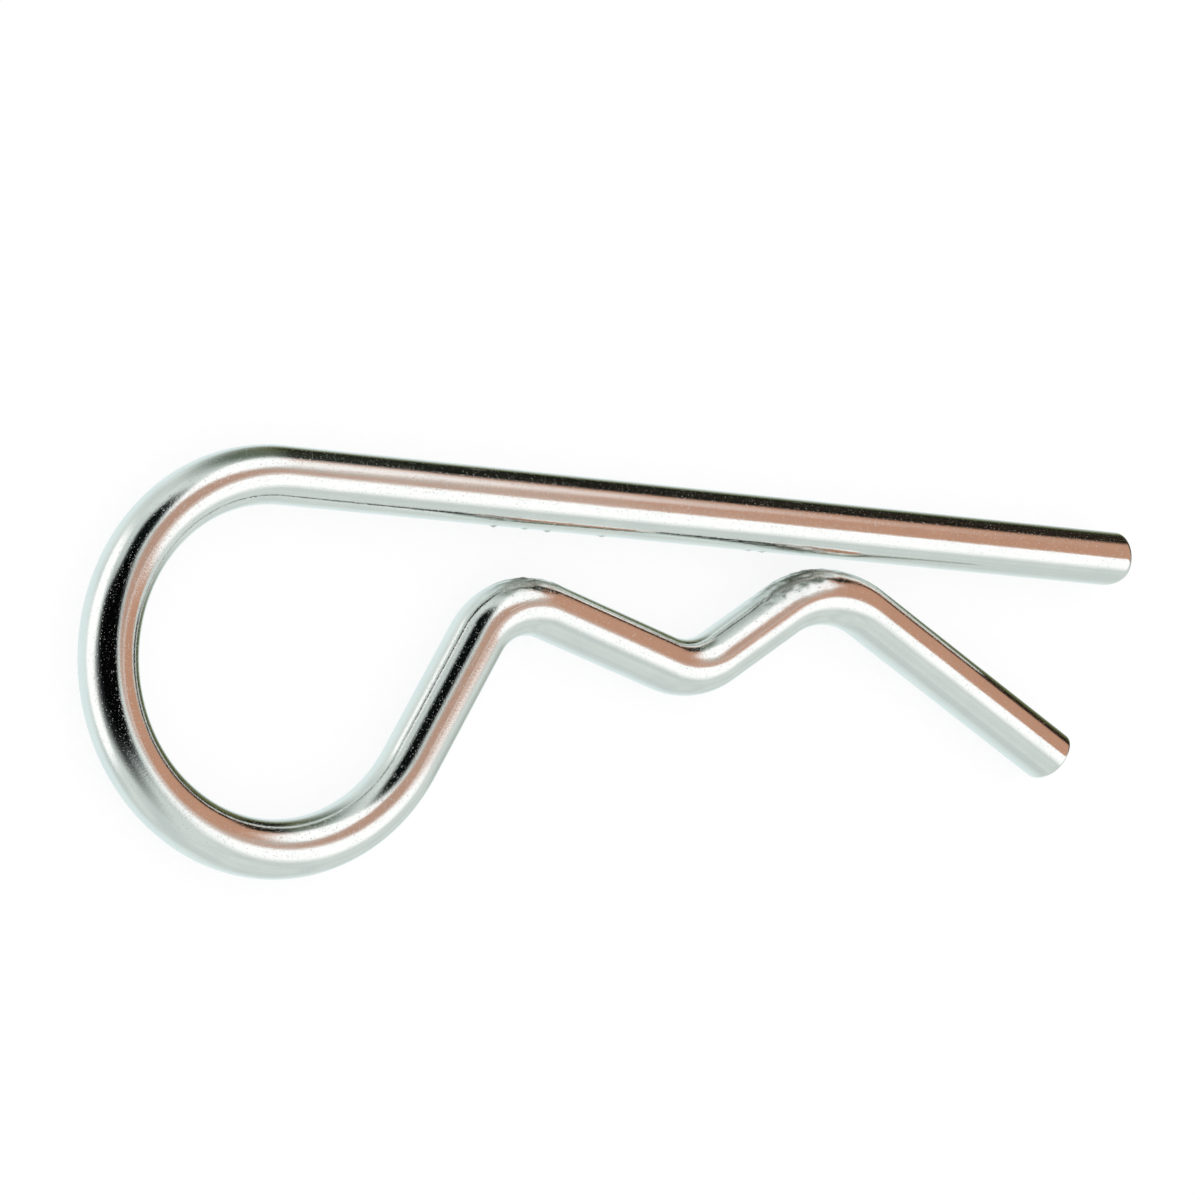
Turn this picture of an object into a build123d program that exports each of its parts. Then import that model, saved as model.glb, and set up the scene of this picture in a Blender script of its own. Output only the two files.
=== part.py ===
"""Hitch pin clip: one length of round spring wire, bent flat.

A straight leg goes through the cross hole of a shaft. A round loop, the spring, turns the
wire back below the leg, and a wavy arm follows: it rises to crest 1, drops into a seat that
lies against the outside of the shaft, rises to crest 2, which holds the shaft in, and ends in
a flare that guides the clip on.

Millimetres. X runs along the leg towards its free end, Y across the clip from the arm to the
leg, and Z through the wire's flat plane. The origin is on the leg's axis opposite the lowest
point of the seat, which is the centre of the shaft. The clip lies on its flat side.
"""

from build123d import *

import os
from math import cos, radians, sin

# Wire, overall length and spring loop
wire_diameter = 3.0
overall_length = 65.0  # from the loop's outer edge to the leg's free end
loop_bore = 15.7  # clear diameter inside the loop

# Heights of the arm, each measured square to the leg
crest_1_gap = 2.5  # clear gap between the leg and crest 1
seat_depth = 6.5  # from the leg's axis to the seat's surface: the largest shaft radius
crest_2_gap = 0.6  # clear gap between the leg and crest 2, where the shaft snaps in

# Slopes of the arm's straight runs against the leg, in degrees
rise_angle = 60.5  # from the loop up to crest 1
seat_fall_angle = 16.5  # from crest 1 down to the seat
seat_rise_angle = 34.0  # from the seat up to crest 2
flare_angle = 28.5  # from crest 2 away from the leg

# Radii inside the arm's bends, and the flare's straight run
crest_1_inside_radius = 2.2
seat_inside_radius = 2.6
crest_2_inside_radius = 4.0
flare_length = 14.9

# Rounding of the cut ends
leg_tip_round = 0.6
flare_tip_round = 0.25


def drop(angle):
    """How far a bend of radius 1 falls while it turns from level to this slope."""
    return 1 - cos(radians(angle))


def run_between_bends(height, angle, radii):
    """Length of the straight run at this slope that joins two bends over this height."""
    return (height - radii * drop(angle)) / sin(radians(angle))


# Radii of the wire's centreline
wire_radius = wire_diameter / 2
loop_radius = loop_bore / 2 + wire_radius
crest_1_radius = crest_1_inside_radius + wire_radius
seat_radius = seat_inside_radius + wire_radius
crest_2_radius = crest_2_inside_radius + wire_radius

# Depths of the centreline below the leg's axis
crest_1_depth = crest_1_gap + wire_diameter
seat_centre_depth = seat_depth + wire_radius
crest_2_depth = crest_2_gap + wire_diameter
loop_end_depth = loop_radius * (1 + cos(radians(rise_angle)))

# Straight runs that meet the bends at those depths
rise_length = (loop_end_depth - crest_1_depth - crest_1_radius * drop(rise_angle)) / sin(
    radians(rise_angle)
)
seat_fall_length = run_between_bends(
    seat_centre_depth - crest_1_depth, seat_fall_angle, crest_1_radius + seat_radius
)
seat_rise_length = run_between_bends(
    seat_centre_depth - crest_2_depth, seat_rise_angle, seat_radius + crest_2_radius
)

# Places along the leg, with the seat's lowest point at X = 0
loop_to_crest_1 = (loop_radius + crest_1_radius) * sin(radians(rise_angle)) + (
    rise_length * cos(radians(rise_angle))
)
crest_1_to_seat = (crest_1_radius + seat_radius) * sin(radians(seat_fall_angle)) + (
    seat_fall_length * cos(radians(seat_fall_angle))
)
loop_x = -(loop_to_crest_1 + crest_1_to_seat)
leg_tip_x = loop_x - loop_radius - wire_radius + overall_length


def wire_path():
    """The wire's centreline, from the leg's free end to the flare's free end."""
    with BuildLine() as path:
        leg = Line((leg_tip_x, 0), (loop_x, 0))
        loop = JernArc(leg @ 1, leg % 1, loop_radius, 180 + rise_angle)
        rise = PolarLine(loop @ 1, rise_length, direction=loop % 1)
        crest_1 = JernArc(rise @ 1, rise % 1, crest_1_radius, -rise_angle - seat_fall_angle)
        seat_fall = PolarLine(crest_1 @ 1, seat_fall_length, direction=crest_1 % 1)
        seat = JernArc(seat_fall @ 1, seat_fall % 1, seat_radius, seat_fall_angle + seat_rise_angle)
        seat_rise = PolarLine(seat @ 1, seat_rise_length, direction=seat % 1)
        crest_2 = JernArc(
            seat_rise @ 1, seat_rise % 1, crest_2_radius, -seat_rise_angle - flare_angle
        )
        PolarLine(crest_2 @ 1, flare_length, direction=crest_2 % 1)
    return path.wire()


def round_end(clip, end, radius):
    """Round the rim of the cut face whose centre is at this end of the path."""
    rim = clip.edges().filter_by(GeomType.CIRCLE).sort_by_distance(end)[0]
    fillet(rim, radius)


def bent_wire():
    """The round wire swept along its path, with both cut ends rounded."""
    path = wire_path()
    with BuildPart() as clip:
        with BuildSketch(Plane(origin=path @ 0, z_dir=path % 0)):
            Circle(wire_radius)
        sweep(path=path)
        round_end(clip, path @ 0, leg_tip_round)
        round_end(clip, path @ 1, flare_tip_round)
    return clip.part


os.makedirs("parts", exist_ok=True)
export_step(bent_wire(), "parts/bent_wire.step")
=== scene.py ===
"""Looks of the hitch pin clip: bright drawn wire on a white sweep.

The wire is swept here again as a dense mesh along the CAD model's own route, so that its cut
ends, bends and tool marks are real surface. The sizes here are in mm unless a comment says
otherwise, and become metres when the mesh is made. The CAD frame has X along the straight leg
towards its free end, Y from the wavy arm to the leg, and Z square to the clip.
"""

from math import ceil, cos, pi, radians, sin

import bpy
import numpy as np
from mathutils import Matrix, Vector, noise as rough


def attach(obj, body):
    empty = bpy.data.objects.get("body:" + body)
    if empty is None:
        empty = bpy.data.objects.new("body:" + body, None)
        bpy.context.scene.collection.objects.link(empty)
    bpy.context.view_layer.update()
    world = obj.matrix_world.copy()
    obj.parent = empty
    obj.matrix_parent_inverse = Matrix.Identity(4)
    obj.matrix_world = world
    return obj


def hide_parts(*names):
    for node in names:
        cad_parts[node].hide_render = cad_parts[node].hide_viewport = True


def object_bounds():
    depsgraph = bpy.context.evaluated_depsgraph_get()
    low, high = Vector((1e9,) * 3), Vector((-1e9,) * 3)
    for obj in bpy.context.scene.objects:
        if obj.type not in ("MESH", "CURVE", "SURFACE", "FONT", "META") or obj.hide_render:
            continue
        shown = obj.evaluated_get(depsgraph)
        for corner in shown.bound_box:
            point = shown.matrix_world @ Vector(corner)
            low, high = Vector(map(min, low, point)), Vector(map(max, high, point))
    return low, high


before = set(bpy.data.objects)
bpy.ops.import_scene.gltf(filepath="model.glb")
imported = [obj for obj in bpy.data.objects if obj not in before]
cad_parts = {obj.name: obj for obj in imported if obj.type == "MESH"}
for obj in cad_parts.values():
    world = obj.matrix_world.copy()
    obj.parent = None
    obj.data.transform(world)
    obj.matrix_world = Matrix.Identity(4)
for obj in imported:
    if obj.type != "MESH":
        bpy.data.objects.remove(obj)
CAD_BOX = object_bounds()
MM = 0.001

# The clip's driving sizes, as in the CAD model (mm and degrees)
WIRE_RADIUS = 1.5
OVERALL_LENGTH = 65.0
LOOP_RADIUS = 9.35
RISE_ANGLE = 60.5
SEAT_FALL_ANGLE = 16.5
SEAT_RISE_ANGLE = 34.0
FLARE_ANGLE = 28.5
CREST_1_RADIUS, CREST_1_DEPTH = 3.7, 5.5
SEAT_RADIUS, SEAT_DEPTH = 4.1, 8.0
CREST_2_RADIUS, CREST_2_DEPTH = 5.5, 3.6
FLARE_LENGTH = 14.9

# The mesh
STEP_ALONG = 0.105  # mm between rings
RING_POINTS = 64
CAP_RINGS = 7
CAP_MIDDLE = 0.02  # share of the cut face's radius that its innermost ring keeps

# The cut ends' rounding: its least, what it gains on the most rounded side, and, on the leg,
# the angle by which that side is turned away from the loop's inside (radians)
LEG_ROUNDING, LEG_ROUNDING_GAIN = 0.35, 0.75
LEG_ROUNDING_TURN = 0.5
FLARE_ROUNDING, FLARE_ROUNDING_GAIN = 0.15, 0.35

# Marks of the bending tools, all on the sides where the leg and the arm face each other.
# Burrs: distance along the wire from the leg's tip and height, in mm
BURRS = [(41.5, 0.10), (39.6, 0.05), (38.2, 0.08), (34.8, 0.06), (25.4, 0.04), (24.5, 0.05)]
BURR_LENGTH, BURR_WIDTH = 0.16, 0.16
BURR_WEAR = 0.8  # how worn a burr's top is, from 0 to 1
# Scuffs: distance of the middle, half length and depth, in mm
SCUFFS = [(104.4, 1.8, 0.10), (123.2, 3.2, 0.12)]
SCUFF_WIDTH = 0.9
SCUFF_OFFSET = 0.5  # towards the clip's upper side
SCUFF_SPREAD = 0.7  # share of the half length over which a scuff fades
SCUFF_LEAST = 0.02  # weakest share of a scuff that is still drawn
SCUFF_LUMPS = (1.6, 3.2, 4)  # lumps per mm along the wire and across it, octaves
SCUFF_LEVEL = 0.15  # height of the lumps that stays level with the wire
SCUFF_WEAR = 0.75  # how worn the middle of a scuff is, from 0 to 1
# Drawn waviness: height in mm, lumps per mm along the wire and across it
DRAWN_WAVES = [(0.0045, 0.10, 0.9), (0.0012, 0.25, 3.0)]
WAVE_OCTAVES = 2

# The camera: above the loop's end of the clip, looking down on it
CAMERA_TARGET = (-5.24, -4.84, 0.0)  # mm
CAMERA_DISTANCE = 260.3  # mm
CAMERA_TILT = 34.14  # degrees away from straight above
CAMERA_AZIMUTH = -171.96
CAMERA_ROLL = -2.05
FOCAL_LENGTH, SENSOR_WIDTH = 150.0, 36.0
NEAR_CLIP = 0.01  # metres


# ---------------------------------------------------------------- the wire's route


def drop(angle):
    """How far a bend of radius 1 falls while it turns from level to this slope."""
    return 1 - cos(radians(angle))


def run_length(height, angle, radii):
    """Length of the straight run at this slope between two bends over this height."""
    return (height - radii * drop(angle)) / sin(radians(angle))


def route():
    """The centreline's stretches from the leg's tip: (length, 0) or (radius, turn in degrees)."""
    loop_end_depth = LOOP_RADIUS * (1 + cos(radians(RISE_ANGLE)))
    rise = run_length(loop_end_depth - CREST_1_DEPTH, RISE_ANGLE, CREST_1_RADIUS)
    fall = run_length(
        SEAT_DEPTH - CREST_1_DEPTH, SEAT_FALL_ANGLE, CREST_1_RADIUS + SEAT_RADIUS
    )
    climb = run_length(
        SEAT_DEPTH - CREST_2_DEPTH, SEAT_RISE_ANGLE, SEAT_RADIUS + CREST_2_RADIUS
    )
    leg = OVERALL_LENGTH - LOOP_RADIUS - WIRE_RADIUS
    return [
        (leg, 0),
        (LOOP_RADIUS, 180 + RISE_ANGLE),
        (rise, 0),
        (CREST_1_RADIUS, -RISE_ANGLE - SEAT_FALL_ANGLE),
        (fall, 0),
        (SEAT_RADIUS, SEAT_FALL_ANGLE + SEAT_RISE_ANGLE),
        (climb, 0),
        (CREST_2_RADIUS, -SEAT_RISE_ANGLE - FLARE_ANGLE),
        (FLARE_LENGTH, 0),
    ]


def walk(start):
    """Points, headings and distances of the centreline, a ring's step apart, in mm."""
    place, heading, travelled = np.array(start, float), pi, 0.0
    points, headings, distances = [place.copy()], [heading], [0.0]
    for size, turn in route():
        length = size if turn == 0 else size * abs(radians(turn))
        steps = ceil(length / STEP_ALONG)
        for _ in range(steps):
            bend = radians(turn) / steps
            chord = length / steps * np.sinc(bend / 2 / pi)
            place += chord * np.array([cos(heading + bend / 2), sin(heading + bend / 2)])
            heading += bend
            travelled += length / steps
            points.append(place.copy())
            headings.append(heading)
            distances.append(travelled)
    return np.array(points), np.array(headings), np.array(distances)


# ---------------------------------------------------------------- the wire's surface


def tip_round(distance, rounding):
    """How much the wire narrows this far from a cut end with this rounding, in mm."""
    inside = np.clip((rounding - distance) / rounding, 0, 1)
    return rounding * (1 - np.sqrt(1 - inside**2))


def bump_shape(offset, width):
    """A smooth hump, 1 in its middle and near 0 at twice its width."""
    return np.exp(-((offset / width) ** 2))


def relief(along, turn):
    """Height of the drawn waves, burrs and scuffs over the wire, in mm, and how worn it is."""
    along, turn = np.broadcast_arrays(along, turn)
    across = WIRE_RADIUS * np.stack([np.cos(turn), np.sin(turn)], axis=2)
    off_middle = WIRE_RADIUS * (np.mod(turn + pi, 2 * pi) - pi)
    height, worn = np.zeros(along.shape), np.zeros(along.shape)

    def lumps(chosen, rate_along, rate_across, octaves):
        """Noise at the chosen points, drawn out by its rates along and across the wire."""
        places = zip(along[chosen], across[chosen])
        return [
            rough.fractal(
                (s * rate_along, p[0] * rate_across, p[1] * rate_across), 1.0, 2.0, octaves
            )
            for s, p in places
        ]

    everywhere = np.ones(along.shape, bool)
    for wave, rate_along, rate_across in DRAWN_WAVES:
        waves = lumps(everywhere, rate_along, rate_across, WAVE_OCTAVES)
        height += wave * np.reshape(waves, along.shape)
    for middle, tall in BURRS:
        burr = bump_shape(along - middle, BURR_LENGTH) * bump_shape(off_middle, BURR_WIDTH)
        height += tall * burr
        worn = np.maximum(worn, BURR_WEAR * burr)
    for middle, half, deep in SCUFFS:
        share = bump_shape(along - middle, half * SCUFF_SPREAD)
        share *= bump_shape(off_middle - SCUFF_OFFSET, SCUFF_WIDTH)
        chosen = share > SCUFF_LEAST
        torn = np.array(lumps(chosen, *SCUFF_LUMPS))
        height[chosen] += deep * share[chosen] * (torn - SCUFF_LEVEL)
        worn[chosen] = share[chosen] * np.clip(SCUFF_WEAR + torn, 0, 1)
    return height, worn


def wire_mesh():
    """The whole wire as one closed mesh, which also carries its places as if straightened."""
    leg_tip_x = CAD_BOX[1].x / MM
    points, headings, distances = walk((leg_tip_x, 0.0))
    around = np.linspace(0, 2 * pi, RING_POINTS, endpoint=False)
    side = np.stack([-np.sin(headings), np.cos(headings)], axis=1)
    along, turn = distances[:, None], around[None, :]
    total = distances[-1]

    leg_side = np.clip(np.cos(turn + LEG_ROUNDING_TURN), 0, 1)
    leg_rounding = LEG_ROUNDING + LEG_ROUNDING_GAIN * leg_side**2
    radius = WIRE_RADIUS - tip_round(along, leg_rounding)
    flare_side = np.clip(-np.cos(turn), 0, 1)
    flare_rounding = FLARE_ROUNDING + FLARE_ROUNDING_GAIN * flare_side**2
    radius -= tip_round(total - along, flare_rounding)
    marks, worn = relief(along, turn)
    radius += marks

    inward = (radius * np.cos(turn))[..., None] * side[:, None, :]
    flat = points[:, None, :] + inward
    height = radius * np.sin(turn)
    rings = np.concatenate([flat, height[..., None]], axis=2)
    straight = np.stack(
        [along + 0 * turn, radius * np.cos(turn), radius * np.sin(turn)], axis=2
    )
    rings, straight = with_caps(rings, straight)
    worn = np.concatenate([worn[:1]] * CAP_RINGS + [worn] + [worn[-1:]] * CAP_RINGS)
    return closed_mesh("clip_wire", rings, straight, worn)


def with_caps(rings, straight):
    """Rings that shrink to a point across each cut face."""

    def shrunk(ring):
        """Copies of a ring, from the middle of its face outwards."""
        centre = ring.mean(axis=0)
        shares = np.linspace(0, 1, CAP_RINGS + 1)[:-1]
        return [centre + (ring - centre) * max(share, CAP_MIDDLE) for share in shares]

    def capped(stack):
        """The stack with its first and last rings closed."""
        return np.array(shrunk(stack[0]) + list(stack) + shrunk(stack[-1])[::-1])

    return capped(rings), capped(straight)


def closed_mesh(name, rings, straight, worn):
    """A closed tube from rings of points, in metres, with smooth shading."""
    count, around = rings.shape[:2]
    middles = [rings[0].mean(axis=0), rings[-1].mean(axis=0)]
    vertices = np.concatenate([rings.reshape(-1, 3), middles]) * MM
    faces = []
    for ring in range(count - 1):
        for k in range(around):
            a, b = ring * around + k, ring * around + (k + 1) % around
            faces.append((a, a + around, b + around, b))
    first, last = count * around, count * around + 1
    end = (count - 1) * around
    faces += [(first, k, (k + 1) % around) for k in range(around)]
    faces += [(last, end + (k + 1) % around, end + k) for k in range(around)]
    mesh = bpy.data.meshes.new(name)
    mesh.from_pydata(vertices.tolist(), [], faces)
    mesh.validate()
    place = mesh.attributes.new("wire_place", "FLOAT_VECTOR", "POINT")
    ends = [straight[0].mean(axis=0), straight[-1].mean(axis=0)]
    values = np.concatenate([straight.reshape(-1, 3), ends])
    place.data.foreach_set("vector", values.astype(np.float32).ravel())
    wear = mesh.attributes.new("wear", "FLOAT", "POINT")
    wear.data.foreach_set("value", np.append(worn, [0, 0]).astype(np.float32))
    mesh.polygons.foreach_set("use_smooth", [True] * len(mesh.polygons))
    mesh.update()
    obj = bpy.data.objects.new(name, mesh)
    bpy.context.scene.collection.objects.link(obj)
    return obj


# ---------------------------------------------------------------- node helpers


def add(tree, kind, **settings):
    """A new node with these properties set."""
    node = tree.nodes.new(kind)
    for key, value in settings.items():
        setattr(node, key, value)
    return node


def join(tree, value, socket):
    """Link a socket, or set a plain value."""
    if isinstance(value, bpy.types.NodeSocket):
        tree.links.new(value, socket)
    else:
        socket.default_value = value


def maths(tree, operation, *values):
    """The result of a maths node on these values."""
    node = add(tree, "ShaderNodeMath", operation=operation)
    for value, socket in zip(values, node.inputs):
        join(tree, value, socket)
    return node.outputs[0]


def fade(tree, value, start, end, low=0.0, high=1.0):
    """A smooth step of a value from start to end."""
    node = add(tree, "ShaderNodeMapRange", interpolation_type="SMOOTHSTEP")
    for number, socket in zip((value, start, end, low, high), node.inputs):
        join(tree, number, socket)
    return node.outputs[0]


def blend(tree, share, first, second):
    """The first colour where the share is 0, the second where it is 1."""
    node = add(tree, "ShaderNodeMix", data_type="RGBA")
    join(tree, share, node.inputs[0])
    join(tree, first, node.inputs[6])
    join(tree, second, node.inputs[7])
    return node.outputs[2]


def noise(tree, place, scale, detail=2.0, roughness=0.5):
    """Smooth noise, about 0.5 in the middle, at this many lumps per unit of place."""
    node = add(tree, "ShaderNodeTexNoise")
    join(tree, place, node.inputs["Vector"])
    join(tree, scale, node.inputs["Scale"])
    join(tree, detail, node.inputs["Detail"])
    join(tree, roughness, node.inputs["Roughness"])
    return node.outputs["Fac"]


def stretched(tree, place, scale):
    """A place with each axis scaled, to draw a pattern out along the wire."""
    node = add(tree, "ShaderNodeVectorMath", operation="MULTIPLY")
    join(tree, place, node.inputs[0])
    join(tree, scale, node.inputs[1])
    return node.outputs[0]


def linear(red, green, blue):
    """A colour of 0 to 255 as seen on screen, as linear light."""
    return [((c / 255 + 0.055) / 1.055) ** 2.4 for c in (red, green, blue)] + [1.0]


# ---------------------------------------------------------------- the metal

PLATING, BRIGHT_PLATING = linear(232, 235, 234), linear(247, 247, 244)
PIT_TONE, PIT_SHARE = linear(196, 196, 190), 0.25
WORN_TONE, WORN_SHARE = linear(98, 100, 80), 0.9
# Patterns: lumps per mm of wire, and where along and across it differ, one number for each axis
LINE_RATE, SCRATCH_RATE = (0.15, 7.0, 7.0), (0.5, 14.0, 14.0)
GRAIN_RATE, CLOUD_RATE, PIT_RATE = 11.0, 0.6, 12.0
PIT_FROM, PIT_TO = 0.64, 0.74
SCRATCH_FROM, SCRATCH_TO = 0.72, 0.80
# Roughness: the plating's least and most, and what marks and wear add
SMOOTH, DRAWN = 0.05, 0.12
MARK_ROUGHNESS, WEAR_ROUGHNESS = 0.22, 0.3
# Heights of the patterns in mm
LINE_HEIGHT, GRAIN_HEIGHT, PIT_HEIGHT, SCRATCH_HEIGHT = 0.0022, 0.0030, -0.0030, -0.0016


def bright_wire():
    """Bright plated spring steel: fine draw lines, a slightly grainy plating, dull specks."""
    material = bpy.data.materials.new("bright_wire")
    material.use_nodes = True
    tree = material.node_tree
    shader = tree.nodes["Principled BSDF"]
    shader.inputs["Metallic"].default_value = 1.0
    place = add(tree, "ShaderNodeAttribute", attribute_name="wire_place").outputs["Vector"]

    draw_lines = noise(tree, stretched(tree, place, LINE_RATE), 1.0, 3.0, 0.65)
    grain = noise(tree, place, GRAIN_RATE, 2.0, 0.6)
    clouds = noise(tree, place, CLOUD_RATE, 3.0)
    pits = fade(tree, noise(tree, place, PIT_RATE, 1.0), PIT_FROM, PIT_TO)
    scratches = noise(tree, stretched(tree, place, SCRATCH_RATE), 1.0, 1.0)
    scratches = fade(tree, scratches, SCRATCH_FROM, SCRATCH_TO)

    tone = blend(tree, clouds, PLATING, BRIGHT_PLATING)
    dull = maths(tree, "MULTIPLY", pits, PIT_SHARE)
    tone = blend(tree, dull, tone, PIT_TONE)
    wear = add(tree, "ShaderNodeAttribute", attribute_name="wear").outputs["Fac"]
    tone = blend(tree, maths(tree, "MULTIPLY", wear, WORN_SHARE), tone, WORN_TONE)
    join(tree, tone, shader.inputs["Base Color"])

    roughness = fade(tree, draw_lines, 0.3, 0.7, SMOOTH, DRAWN)
    marks = maths(tree, "MULTIPLY", maths(tree, "MAXIMUM", pits, scratches), MARK_ROUGHNESS)
    marks = maths(tree, "ADD", marks, maths(tree, "MULTIPLY", wear, WEAR_ROUGHNESS))
    join(tree, maths(tree, "ADD", roughness, marks), shader.inputs["Roughness"])

    height = maths(tree, "MULTIPLY", draw_lines, LINE_HEIGHT)
    layers = ((grain, GRAIN_HEIGHT), (pits, PIT_HEIGHT), (scratches, SCRATCH_HEIGHT))
    for layer, size in layers:
        height = maths(tree, "ADD", height, maths(tree, "MULTIPLY", layer, size))
    bump = add(tree, "ShaderNodeBump")
    bump.inputs["Strength"].default_value = 1.0
    bump.inputs["Distance"].default_value = MM
    join(tree, height, bump.inputs["Height"])
    join(tree, bump.outputs[0], shader.inputs["Normal"])
    return material


# ---------------------------------------------------------------- the studio

# What the bright wire mirrors, as seen from the clip: each card's shape, azimuth from +X
# towards +Y and angle from straight up of its middle, its roll, its half sizes outward and
# sideways, the softness of its edge (degrees), and its colour, which may pass 255 where a
# softbox is brighter than white. Later cards cover earlier ones.
SHADED_WALL, LIT_WALL = linear(202, 211, 209), linear(218, 226, 222)
WALL_LUMPS = 2.4
CARDS = [
    ("under_glow", "round", 0, 180, 0, 56, 56, 36, (228, 242, 242)),
    ("left_wall", "flat", 176, 99, 0, 20, 48, 16, (272, 272, 272)),
    ("back_corner", "round", 70, 93, 0, 26, 22, 30, (100, 110, 96)),
    ("operator_shade", "round", -168, 43, 0, 35, 38, 36, (28, 30, 31)),
    ("front_softbox", "round", -22, 42, 0, 23, 24, 20, (272, 272, 272)),
    ("olive_card", "flat", 30, 108, 0, 18, 36, 22, (98, 102, 62)),
    ("tan_board", "flat", 27, 60, -30, 20, 28, 6, (196, 149, 124)),
    ("back_softbox", "round", 66, 46, 0, 21, 16, 12, (272, 272, 272)),
    ("inner_card", "round", 38, 24, 0, 12, 17, 10, (190, 154, 136)),
    ("dark_corner", "flat", 54, 92, 0, 22, 9, 10, (24, 26, 22)),
    ("dark_gap", "flat", 26, 92, 0, 12, 29, 8, (40, 32, 24)),
    ("operator_sleeve", "round", 118, 44, 0, 20, 18, 14, (12, 18, 17)),
    ("dark_operator", "round", 170, 31, 72, 28, 39, 12, (5, 5, 6)),
]


def card_axes(azimuth, polar, roll):
    """A card's direction from the clip, and the axes along its outward and sideways edges."""
    a, p, r = radians(azimuth), radians(polar), radians(roll)
    centre = Vector((sin(p) * cos(a), sin(p) * sin(a), cos(p)))
    outward = Vector((cos(p) * cos(a), cos(p) * sin(a), -sin(p)))
    sideways = Vector((-sin(a), cos(a), 0))
    return (
        centre,
        outward * cos(r) + sideways * sin(r),
        sideways * cos(r) - outward * sin(r),
    )


def card_mask(tree, direction, axes, half_sizes, soft, is_round):
    """1 inside a card, falling to 0 across its soft edge."""

    def along(axis):
        """How far the direction reaches along an axis."""
        node = add(tree, "ShaderNodeVectorMath", operation="DOT_PRODUCT")
        join(tree, direction, node.inputs[0])
        join(tree, axis, node.inputs[1])
        return node.outputs["Value"]

    depth = along(axes[0])
    angles = []
    for axis in axes[1:]:
        angle = maths(tree, "ARCTAN2", along(axis), depth)
        angles.append(maths(tree, "DEGREES", angle))
    if is_round:
        squares = [
            maths(tree, "POWER", maths(tree, "DIVIDE", maths(tree, "ABSOLUTE", angle), half), 2.0)
            for angle, half in zip(angles, half_sizes)
        ]
        reach = maths(tree, "SQRT", maths(tree, "ADD", *squares))
        edge = soft / sum(half_sizes)
        return fade(tree, reach, 1 - edge, 1 + edge, 1.0, 0.0)
    masks = [
        fade(tree, maths(tree, "ABSOLUTE", angle), half - soft / 2, half + soft / 2, 1.0, 0.0)
        for angle, half in zip(angles, half_sizes)
    ]
    return maths(tree, "MULTIPLY", *masks)


def studio():
    """Plain white light on everything, and the studio's cards in what the metal mirrors."""
    world = bpy.data.worlds.new("studio")
    bpy.context.scene.world = world
    world.use_nodes = True
    world.cycles.sampling_method = "NONE"
    tree = world.node_tree
    room = tree.nodes["Background"]
    room.inputs["Color"].default_value = (1, 1, 1, 1)
    direction = add(tree, "ShaderNodeTexCoord").outputs["Generated"]
    mottled = fade(tree, noise(tree, direction, WALL_LUMPS, 2.0), 0.35, 0.65)
    mirrored = blend(tree, mottled, SHADED_WALL, LIT_WALL)
    for name, shape, azimuth, polar, roll, outward, sideways, soft, colour in CARDS:
        axes = card_axes(azimuth, polar, roll)
        mask = card_mask(tree, direction, axes, (outward, sideways), soft, shape == "round")
        mirrored = blend(tree, mask, mirrored, linear(*colour))
        mirrored.node.label = name
    reflected = add(tree, "ShaderNodeBackground")
    join(tree, mirrored, reflected.inputs["Color"])
    choice = add(tree, "ShaderNodeMixShader")
    path = add(tree, "ShaderNodeLightPath")
    tree.links.new(path.outputs["Is Glossy Ray"], choice.inputs[0])
    tree.links.new(room.outputs[0], choice.inputs[1])
    tree.links.new(reflected.outputs[0], choice.inputs[2])
    tree.links.new(choice.outputs[0], tree.nodes["World Output"].inputs["Surface"])


FLOOR_REACH = 2.0  # metres from the middle to each edge
PAPER_TONE = (0.22, 0.22, 0.22, 1)
PAPER_GLOW = 0.8


def floor():
    """A white sweep at the clip's underside that keeps its soft shadow."""
    far = FLOOR_REACH
    level = CAD_BOX[0].z
    mesh = bpy.data.meshes.new("floor")
    corners = [(-far, -far), (far, -far), (far, far), (-far, far)]
    mesh.from_pydata([(x, y, level) for x, y in corners], [], [(0, 1, 2, 3)])
    obj = bpy.data.objects.new("floor", mesh)
    bpy.context.scene.collection.objects.link(obj)
    obj.data.materials.append(floor_material())


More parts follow.
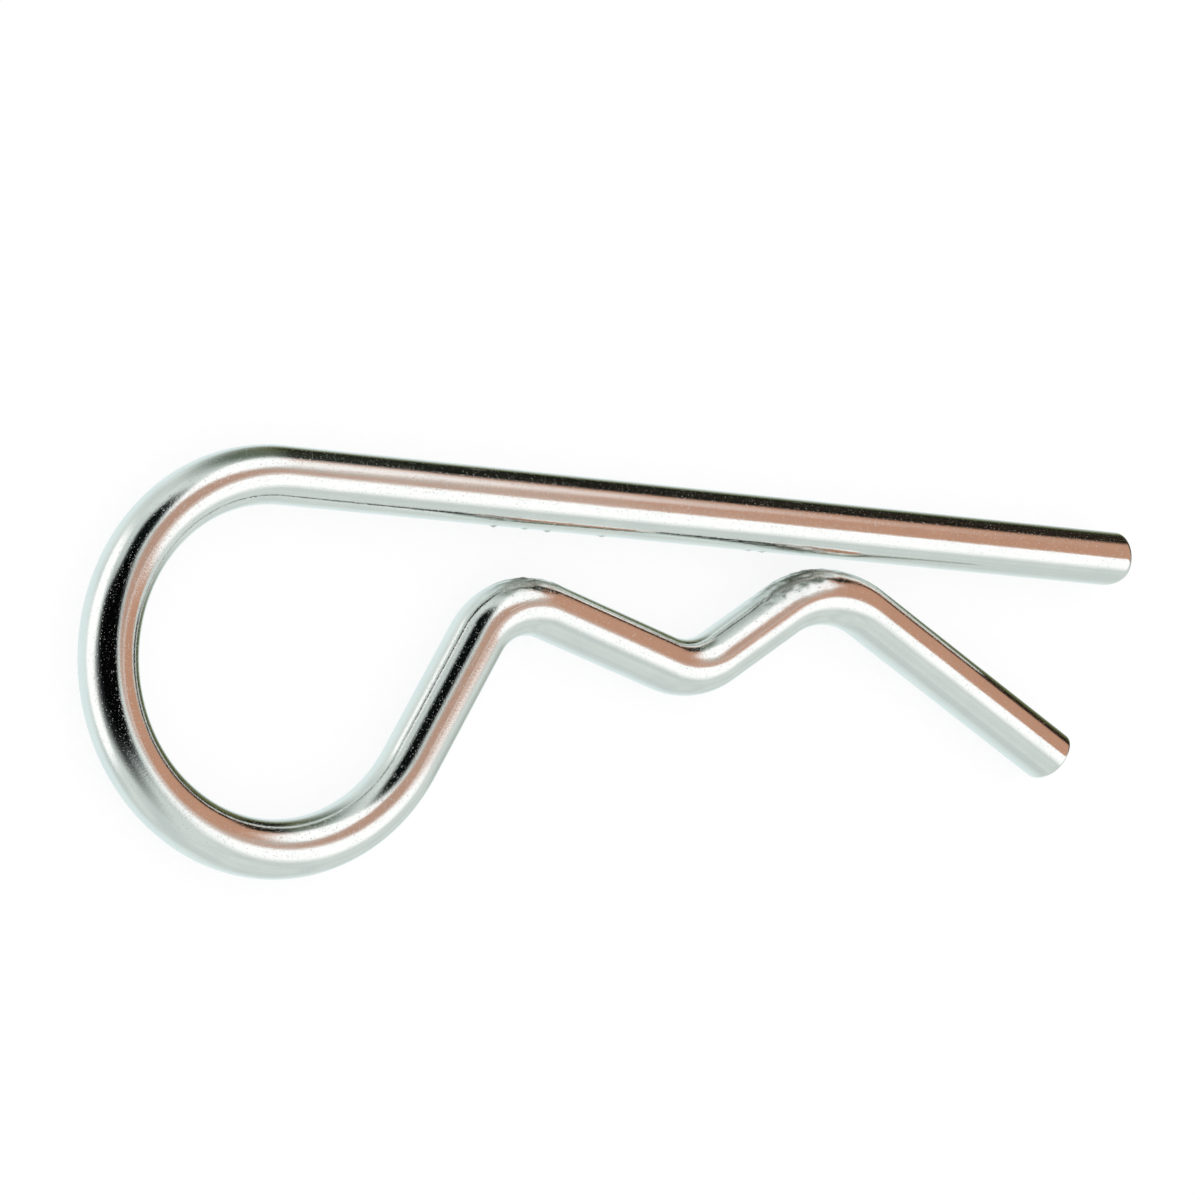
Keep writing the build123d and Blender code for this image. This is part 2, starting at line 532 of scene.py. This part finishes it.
def floor_material():
    """Paper that glows near white and shows the clip's shadow, and that the metal sees past."""
    material = bpy.data.materials.new("white_sweep")
    material.use_nodes = True
    tree = material.node_tree
    tree.nodes.remove(tree.nodes["Principled BSDF"])
    paper = add(tree, "ShaderNodeBsdfDiffuse")
    paper.inputs["Color"].default_value = PAPER_TONE
    glow = add(tree, "ShaderNodeEmission")
    glow.inputs["Strength"].default_value = PAPER_GLOW
    seen = add(tree, "ShaderNodeAddShader")
    tree.links.new(paper.outputs[0], seen.inputs[0])
    tree.links.new(glow.outputs[0], seen.inputs[1])
    clear = add(tree, "ShaderNodeBsdfTransparent")
    mirrored = add(tree, "ShaderNodeMixShader")
    path = add(tree, "ShaderNodeLightPath")
    tree.links.new(path.outputs["Is Glossy Ray"], mirrored.inputs[0])
    tree.links.new(seen.outputs[0], mirrored.inputs[1])
    tree.links.new(clear.outputs[0], mirrored.inputs[2])
    tree.links.new(mirrored.outputs[0], tree.nodes["Material Output"].inputs["Surface"])
    return material


def camera():
    """Looks down on the clip from beyond its loop, with the leg across the frame."""
    tilt, azimuth, roll = radians(CAMERA_TILT), radians(CAMERA_AZIMUTH), radians(CAMERA_ROLL)
    back = Vector((sin(tilt) * cos(azimuth), sin(tilt) * sin(azimuth), cos(tilt)))
    level_up = (Vector((0, 1, 0)) - back * back.y).normalized()
    level_right = level_up.cross(back)
    up = level_up * cos(roll) + level_right * sin(roll)
    right = up.cross(back)
    place = Vector(CAMERA_TARGET) * MM + back * CAMERA_DISTANCE * MM
    turn = Matrix((right, up, back)).transposed().to_4x4()
    data = bpy.data.cameras.new("camera")
    data.lens, data.sensor_width = FOCAL_LENGTH, SENSOR_WIDTH
    data.clip_start = NEAR_CLIP
    obj = bpy.data.objects.new("camera", data)
    obj.matrix_world = Matrix.Translation(place) @ turn
    bpy.context.scene.collection.objects.link(obj)
    bpy.context.scene.camera = obj


# ---------------------------------------------------------------- put together

wire = wire_mesh()
wire.data.materials.append(bright_wire())
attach(wire, "root")
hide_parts("bent_wire")
floor()
studio()
camera()
bpy.context.scene.view_settings.view_transform = "Standard"
